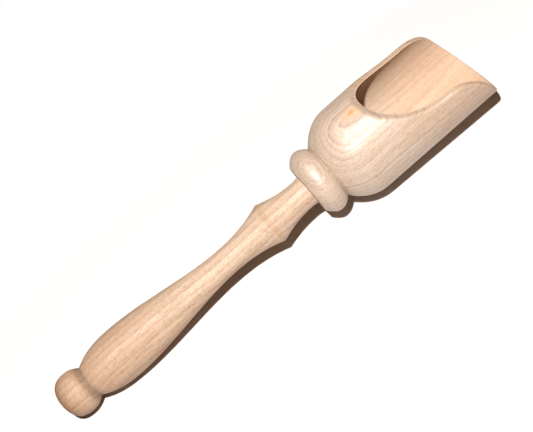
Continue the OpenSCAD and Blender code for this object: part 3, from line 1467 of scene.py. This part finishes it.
@dataclass
class GlueFilm:
    """The glue in the joint, with the fine uneven line that shows at the collar.

    Attributes:
        joint: The joint that it fills.
        finish: Its finish.
        columns: Points round the axis.
        squeeze: How far its edge lies back at the most.
        edge_in: How far in its edge is still rounded.
        edge_round: How far its edge is rounded.
    """

    joint: Joint
    finish: GlueFinish
    columns: int = 160
    squeeze: float = 0.22 * MM
    edge_in: float = 0.1 * MM
    edge_round: float = 0.03 * MM

    def build(self, axis: LatheAxis) -> bpy.types.Object:
        """Forms the film and dresses it.

        Args:
            axis: The lathe axis.

        Returns:
            The film.
        """
        j = self.joint
        turn = full_turn(self.columns)
        uneven = 0.5 + 0.25 * (np.sin(3 * turn + 1) + np.sin(7 * turn + 2) * np.sin(2 * turn))
        edge = j.shoulder_r - self.squeeze * uneven
        around = np.ones_like(turn)
        line = [
            (j.tenon_len, j.tenon_r * 0.5 * around),
            (j.tenon_len, (j.tenon_r - j.chamfer) * around),
            (j.tenon_len - j.chamfer, j.tenon_r * around),
            (j.tenon_len * 0.5, j.tenon_r * around),
            (-j.glue, j.tenon_r * around),
            (-j.glue, edge - self.edge_in),
            (-j.glue * 0.9, edge - self.edge_round),
            (-j.glue * 0.5, edge),
            (-j.glue * 0.1, edge - self.edge_round),
            (0.0, edge - self.edge_in),
            (0.0, j.socket_r * around),
            (j.tenon_len * 0.5, j.socket_r * around),
            (j.tenon_len + j.pad, j.socket_r * around),
            (j.tenon_len + j.pad, j.socket_r * 0.5 * around),
        ]
        skin = Skin("glue_line", self.columns)
        for x, r in line:
            skin.add(axis.place(x * around, r, turn))
        piece = skin.build(axis.centre(j.tenon_len), axis.centre(j.tenon_len + j.pad))
        piece.data.materials.append(self.finish.material())
        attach(piece, "root")
        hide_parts("glue_film")
        return piece


# --------------------------------------------------------------------------- the studio


@dataclass
class Studio:
    """A plain pale sweep, a lamp over the camera's shoulder and soft light all round.

    Attributes:
        axis: The lathe axis.
        distance: From the camera to the axis.
        elevation: The camera's height above the floor, seen along the axis, in degrees.
        foot: Where the camera stands square to the axis, from the collar's face.
        aim: Where it looks on the axis, from the collar's face.
        aim_rise: How far above the axis it looks, across the view.
        roll: How far the axis climbs across the picture, in degrees.
        lens: Focal length in millimetres.
        sensor: Width of the sensor in millimetres.
        lamp_elevation: The lamp's height, seen along the axis, in degrees.
        lamp_foot: Where the lamp hangs square to the axis, from the collar's face.
        lamp_distance: From the lamp to the axis.
        lamp_radius: The lamp's radius.
        lamp_strength: Light that it throws on the scoop, in watts per square metre.
        sky_strength: Strength of the soft light all round.
        sky_colour: Its colour.
        floor_half: Half the width of the sweep.
    """

    axis: LatheAxis
    distance: float = 0.528
    elevation: float = 49.7
    foot: float = -15.6 * MM
    aim: float = -26.6 * MM
    aim_rise: float = 4.2 * MM
    roll: float = 41.4
    lens: float = 64.84
    sensor: float = 36.0
    lamp_elevation: float = 67.0
    lamp_foot: float = -12 * MM
    lamp_distance: float = 0.80
    lamp_radius: float = 20 * MM
    lamp_strength: float = 6.65
    sky_strength: float = 0.07
    sky_colour: Triple = (1.0, 0.50, 0.22)
    floor_half: float = 3.0

    def build(self) -> None:
        """Sets floor, lights, colour and camera."""
        self._floor()
        self._lights()
        self._camera()
        bpy.context.scene.view_settings.view_transform = "Standard"

    def _square(self, elevation: float) -> np.ndarray:
        """Unit vector square to the axis at this height, on the camera's side."""
        a = math.radians(elevation)
        return -math.cos(a) * self.axis.side + math.sin(a) * self.axis.up

    def _floor(self) -> None:
        """Lays the sweep under the scoop."""
        bm = bmesh.new()
        bmesh.ops.create_grid(bm, x_segments=8, y_segments=8, size=self.floor_half)
        data = bpy.data.meshes.new("sweep")
        bm.to_mesh(data)
        bm.free()
        floor = bpy.data.objects.new("sweep", data)
        bpy.context.scene.collection.objects.link(floor)
        floor.data.materials.append(PaperFinish().material())

    def _lights(self) -> None:
        """Hangs the lamp and fills the room with weak warm light, white where it is seen."""
        lamp = bpy.data.lights.new("lamp", "POINT")
        lamp.shadow_soft_size = self.lamp_radius
        lamp.energy = self.lamp_strength * 4 * math.pi * self.lamp_distance ** 2
        hung = bpy.data.objects.new("lamp", lamp)
        bpy.context.scene.collection.objects.link(hung)
        towards = self._square(self.lamp_elevation)
        hung.location = Vector(self.axis.centre(self.lamp_foot) + self.lamp_distance * towards)
        world = bpy.data.worlds.new("room")
        world.use_nodes = True
        nodes, links = world.node_tree.nodes, world.node_tree.links
        fill = nodes["Background"]
        fill.inputs[0].default_value = (*self.sky_colour, 1.0)
        fill.inputs[1].default_value = self.sky_strength
        seen = nodes.new("ShaderNodeBackground")
        seen.inputs[0].default_value = (*WHITE, 1.0)
        ray, blend = nodes.new("ShaderNodeLightPath"), nodes.new("ShaderNodeMixShader")
        links.new(ray.outputs["Is Camera Ray"], blend.inputs[0])
        links.new(fill.outputs[0], blend.inputs[1])
        links.new(seen.outputs[0], blend.inputs[2])
        links.new(blend.outputs[0], nodes["World Output"].inputs[0])
        bpy.context.scene.world = world

    def _camera(self) -> None:
        """Stands the camera and rolls it so that the scoop climbs across the picture."""
        away = self._square(self.elevation)
        across = np.cross(away, self.axis.along)
        stand = self.axis.centre(self.foot) + self.distance * away + self.aim_rise * across
        aim = self.axis.centre(self.aim) + self.aim_rise * across
        back = stand - aim
        back /= np.linalg.norm(back)
        climb = self.axis.along - back * float(np.dot(back, self.axis.along))
        climb /= np.linalg.norm(climb)
        left = np.cross(back, climb)
        a = math.radians(self.roll)
        right = math.cos(a) * climb - math.sin(a) * left
        up = np.cross(back, right)
        pose = Matrix((right, up, back)).transposed().to_4x4()
        pose.translation = Vector(stand)
        lens = bpy.data.cameras.new("camera")
        lens.lens = self.lens
        lens.sensor_width = self.sensor
        lens.clip_start = 0.01
        camera = bpy.data.objects.new("camera", lens)
        camera.matrix_world = pose
        bpy.context.scene.collection.objects.link(camera)
        bpy.context.scene.camera = camera


# --------------------------------------------------------------------------- the scoop

BOWL_BEECH = BeechFinish(
    name="pale_beech",
    pale=(0.466, 0.361, 0.276),
    warm=(0.441, 0.307, 0.212),
    late=(0.302, 0.184, 0.117),
    ray=(0.279, 0.149, 0.079),
    ring_pitch=2.1 * MM,
    pith=(-20 * MM, 64 * MM),
    sway=8 * MM,
    ring_contrast=0.6,
    streak_contrast=0.4,
    line_contrast=0.85,
    speckle=0.9,
    ray_share=0.4,
    ray_contrast=0.30,
    warm_from=118 * MM,
    warm_to=10 * MM,
    seed=3.1,
    roughness=0.49,
    shine=1.0,
    end_from=0.55,
    end_tone=(0.99, 0.97, 0.94),
    # The bore's tone is above 1: painted light brightens the inside of the hollow
    bore=BoredFace(26.4 * MM, 24.95 * MM, (1.14, 1.07, 0.99)),
    knots=(PinKnot(43.0 * MM, -2.5 * MM, 3.0 * MM, 1.8 * MM),
           PinKnot(30.6 * MM, -9.0 * MM, 1.1 * MM, 0.6 * MM)),
    # Painted shade: the groove behind the bead is darkened as if in shade
    stains_and_shade=(StainAndShadeBand(14.7 * MM, 1.8 * MM, (0.80, 0.75, 0.70)),),
)

HANDLE_BEECH = BeechFinish(
    name="tan_beech",
    pale=(0.483, 0.346, 0.245),
    warm=(0.408, 0.267, 0.172),
    late=(0.279, 0.158, 0.088),
    ray=(0.243, 0.131, 0.069),
    ring_pitch=4.0 * MM,
    pith=(58 * MM, 47 * MM),
    sway=7 * MM,
    ring_contrast=0.5,
    streak_contrast=0.8,
    line_contrast=0.65,
    speckle=0.95,
    ray_share=0.6,
    ray_contrast=0.32,
    warm_from=-150 * MM,
    warm_to=-15 * MM,
    seed=8.6,
    roughness=0.68,
    shine=0.75,
    end_from=0.28,
    end_tone=(0.86, 0.80, 0.73),
    # Painted shade: the V groove between grip and knob is darkened as if in shade
    stains_and_shade=(StainAndShadeBand(-160.2 * MM, 3.6 * MM, (0.66, 0.67, 0.68)),
            # Painted shade: the knob's end, which faces away from the lamp, is darkened
            StainAndShadeBand(-181.0 * MM, 16.0 * MM, (0.70, 0.62, 0.53)),
            StainAndShadeBand(-27.6 * MM, 2.2 * MM, (0.93, 0.84, 0.75))),
)


def main() -> None:
    """Makes the scoop and its studio, and notes each piece."""
    logging.basicConfig(level=logging.INFO, format="%(message)s")
    joint = Joint()
    handle = Handle(joint, HANDLE_BEECH)
    axis = LatheAxis.from_record(frame["record"], handle.length)
    makers = [
        handle,
        ScoopBowl(joint, BOWL_BEECH),
        GlueFilm(joint, GlueFinish()),
    ]
    Studio(axis).build()
    for maker in makers:
        piece = maker.build(axis)
        log.info("%s: %d faces", piece.name, len(piece.data.polygons))


if __name__ == "__main__":
    main()
